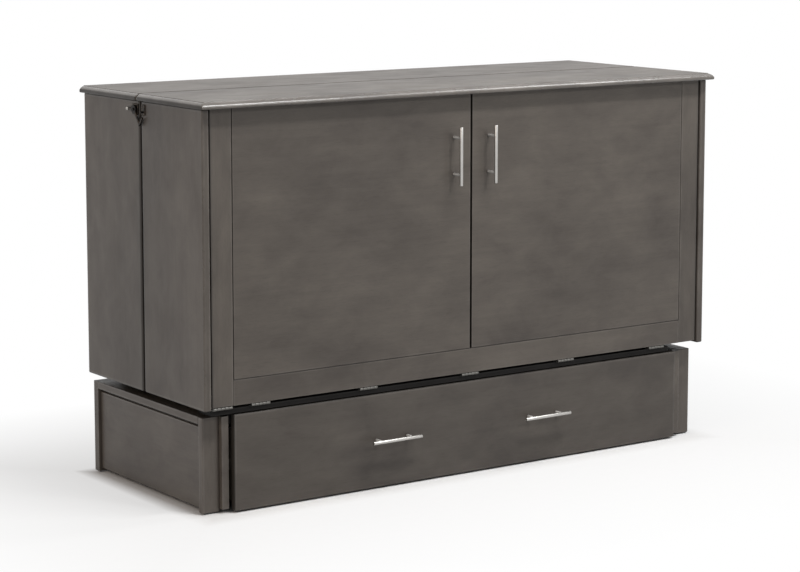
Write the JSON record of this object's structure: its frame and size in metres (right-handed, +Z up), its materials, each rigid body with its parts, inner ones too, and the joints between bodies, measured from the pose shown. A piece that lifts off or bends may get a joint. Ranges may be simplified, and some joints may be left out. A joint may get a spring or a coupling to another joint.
{
  "type": "cabinet bed",
  "caption": "Low wooden cabinet parted across its middle; the base rolls out, the front half folds down on hinges and a folded mattress opens into a bed. Wide drawer below.",
  "frame": {"origin": "on the floor, in the middle of the footprint with the door handles counted in", "axes": "+X to the right along the width, +Y to the rear (the wall side), +Z up"},
  "size_m": [1.65, 0.64, 1.03],
  "materials": {
    "stained_wood": "satin, warm grey-brown stain with soft grain and darker blotches",
    "plain_board": "matt stained board, darker inside",
    "slat_wood": "planed pine",
    "brushed_nickel": "brushed nickel",
    "hinge_steel": "zinc plated, satin",
    "dark_bronze": "dark oil rubbed bronze",
    "wheel_rubber": "matt",
    "glide_plastic": "matt",
    "mattress_cover": "quilted knit cover"
  },
  "bodies": {
    "rear_half": {"rear_top": "stained_wood", "rear_side_left": "stained_wood", "rear_side_right": "stained_wood", "back_panel": "plain_board", "ledge_cleats": "slat_wood", "head_ledge_slats": "slat_wood", "rear_legs": "plain_board", "leg_glides": "glide_plastic", "leg_rail": "plain_board", "latch_plates": "dark_bronze"},
    "base": {"base_front_stile_left": "stained_wood", "base_front_stile_right": "stained_wood", "base_rear_stiles": "stained_wood", "base_rims": "stained_wood", "base_side_panel_left": "stained_wood", "base_side_panel_right": "stained_wood", "drawer_guide_left": "stained_wood", "drawer_guide_right": "stained_wood", "wheel_axles": "hinge_steel", "front_rail": "stained_wood", "hinge_batten": "stained_wood", "cross_rails": "plain_board", "deck_bearers": "slat_wood", "base_deck_slats": "slat_wood", "hinge_lower_leaves": "hinge_steel", "hinge_pins": "hinge_steel", "drawer_runner_outer": "hinge_steel", "mattress_front": "mattress_cover", "mattress_middle": "mattress_cover", "mattress_rear": "mattress_cover"},
    "front_half": {"front_top": "stained_wood", "front_side_left": "stained_wood", "front_side_right": "stained_wood", "corner_stile_left": "stained_wood", "corner_stile_right": "stained_wood", "false_door_left": "stained_wood", "false_door_right": "stained_wood", "bottom_rail": "stained_wood", "face_battens": "plain_board", "door_handle_left": "brushed_nickel", "door_handle_right": "brushed_nickel", "hinge_upper_leaves": "hinge_steel", "latch_keepers": "dark_bronze"},
    "drawer": {"drawer_front": "stained_wood", "drawer_side_left": "plain_board", "drawer_side_right": "plain_board", "drawer_back": "plain_board", "drawer_bottom": "plain_board", "drawer_handle_left": "brushed_nickel", "drawer_handle_right": "brushed_nickel", "drawer_runner_inner": "hinge_steel"},
    "runner_middle": {"drawer_runner_middle": "hinge_steel"},
    "upper_deck": {"upper_sliding_deck": "slat_wood"},
    "lower_deck": {"lower_sliding_deck": "slat_wood"},
    "latch_left": {"latch_lever_left": "dark_bronze"},
    "latch_right": {"latch_lever_right": "dark_bronze"},
    "front_left_wheel": {"wheel_front_left": "wheel_rubber"},
    "front_right_wheel": {"wheel_front_right": "wheel_rubber"},
    "rear_left_wheel": {"wheel_rear_left": "wheel_rubber"},
    "rear_right_wheel": {"wheel_rear_right": "wheel_rubber"}
  },
  "joints": [
    {"name": "base_slide", "type": "slide", "parent": "rear_half", "child": "base", "axis": [0, -1, 0], "range_m": [0, 0.71]},
    {"name": "front_fold", "type": "hinge", "parent": "base", "child": "front_half", "pos_m": [0, -0.279, 0.27], "axis": [1, 0, 0], "range_deg": [0, 90]},
    {"name": "drawer_slide", "type": "slide", "parent": "base", "child": "drawer", "axis": [0, -1, 0], "range_m": [0, 0.39]},
    {"name": "runner_middle_slide", "type": "slide", "parent": "base", "child": "runner_middle", "axis": [0, -1, 0], "range_m": [0, 0.195]},
    {"name": "upper_deck_slide", "type": "slide", "parent": "rear_half", "child": "upper_deck", "axis": [0, -1, 0], "range_m": [0, 0.5325]},
    {"name": "lower_deck_slide", "type": "slide", "parent": "rear_half", "child": "lower_deck", "axis": [0, -1, 0], "range_m": [0, 0.213]},
    {"name": "latch_left_turn", "type": "hinge", "parent": "rear_half", "child": "latch_left", "pos_m": [-0.8178, 0.0395, 0.989], "axis": [-1, 0, 0], "range_deg": [0, 36]},
    {"name": "latch_right_turn", "type": "hinge", "parent": "rear_half", "child": "latch_right", "pos_m": [0.8178, 0.0395, 0.989], "axis": [-1, 0, 0], "range_deg": [0, 36]},
    {"name": "front_left_wheel_spin", "type": "hinge", "parent": "base", "child": "front_left_wheel", "pos_m": [-0.76, -0.159, 0.02], "axis": [1, 0, 0], "continuous": true},
    {"name": "front_right_wheel_spin", "type": "hinge", "parent": "base", "child": "front_right_wheel", "pos_m": [0.76, -0.159, 0.02], "axis": [1, 0, 0], "continuous": true},
    {"name": "rear_left_wheel_spin", "type": "hinge", "parent": "base", "child": "rear_left_wheel", "pos_m": [-0.76, 0.221, 0.02], "axis": [1, 0, 0], "continuous": true},
    {"name": "rear_right_wheel_spin", "type": "hinge", "parent": "base", "child": "rear_right_wheel", "pos_m": [0.76, 0.221, 0.02], "axis": [1, 0, 0], "continuous": true}
  ],
  "couplings": [
    {"joint": "runner_middle_slide", "follows": "drawer_slide", "ratio": 0.5},
    {"joint": "upper_deck_slide", "follows": "base_slide", "ratio": 0.75},
    {"joint": "lower_deck_slide", "follows": "base_slide", "ratio": 0.3}
  ]
}
